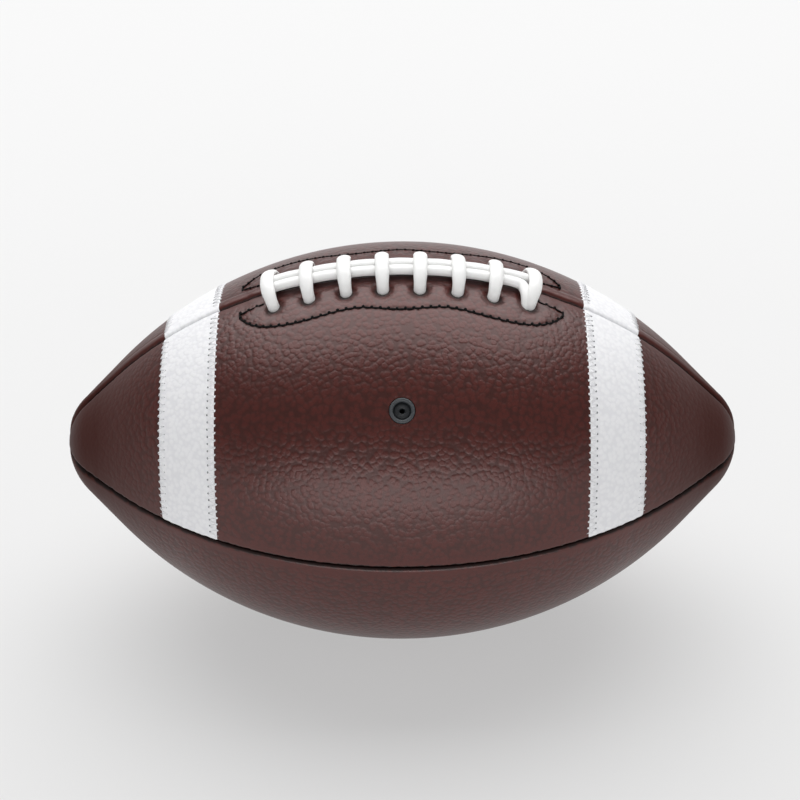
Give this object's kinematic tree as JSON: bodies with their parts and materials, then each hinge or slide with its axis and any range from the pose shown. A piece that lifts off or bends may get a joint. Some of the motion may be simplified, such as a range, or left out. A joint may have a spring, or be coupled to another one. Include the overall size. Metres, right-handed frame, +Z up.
{
  "type": "american football",
  "caption": "Pointed oval leather ball with sewn panels, white end stripes and a laced seam over an inflatable bladder, thrown, carried and kicked in American football.",
  "frame": {"origin": "under the middle of the ball, at the surface it lies on with the laces on top", "axes": "+X from nose to nose along the long axis; -Y towards the side with the valve; +Z up through the laces"},
  "size_m": [0.2838, 0.1692, 0.1787],
  "materials": {
    "leather": "pebbled, soft sheen",
    "lining": "woven, matte",
    "stripe": "painted white, pebbled",
    "facing": "rough, matte",
    "facing_thread": "waxed cord",
    "lace": "smooth, satin",
    "tongue": "rough, matte",
    "bladder": "smooth, matte",
    "valve": "smooth, matte",
    "valve_core": "smooth, matte",
    "seam_thread": "waxed cord"
  },
  "bodies": {
    "root": {"upper_front_panel": "leather", "upper_rear_panel": "leather", "lower_front_panel": "leather", "lower_rear_panel": "leather", "upper_front_lining": "lining", "upper_rear_lining": "lining", "lower_front_lining": "lining", "lower_rear_lining": "lining", "front_left_stripe": "stripe", "front_right_stripe": "stripe", "rear_left_stripe": "stripe", "rear_right_stripe": "stripe", "front_facing": "facing", "rear_facing": "facing", "front_facing_stitching": "facing_thread", "rear_facing_stitching": "facing_thread", "lace": "lace", "lace_tongue": "tongue", "bladder": "bladder", "valve_body": "valve", "valve_core": "valve_core", "front_seam_thread": "seam_thread", "bottom_seam_thread": "seam_thread", "rear_seam_thread": "seam_thread", "lace_seam_thread_left": "seam_thread", "lace_seam_thread_right": "seam_thread"}
  },
  "joints": []
}
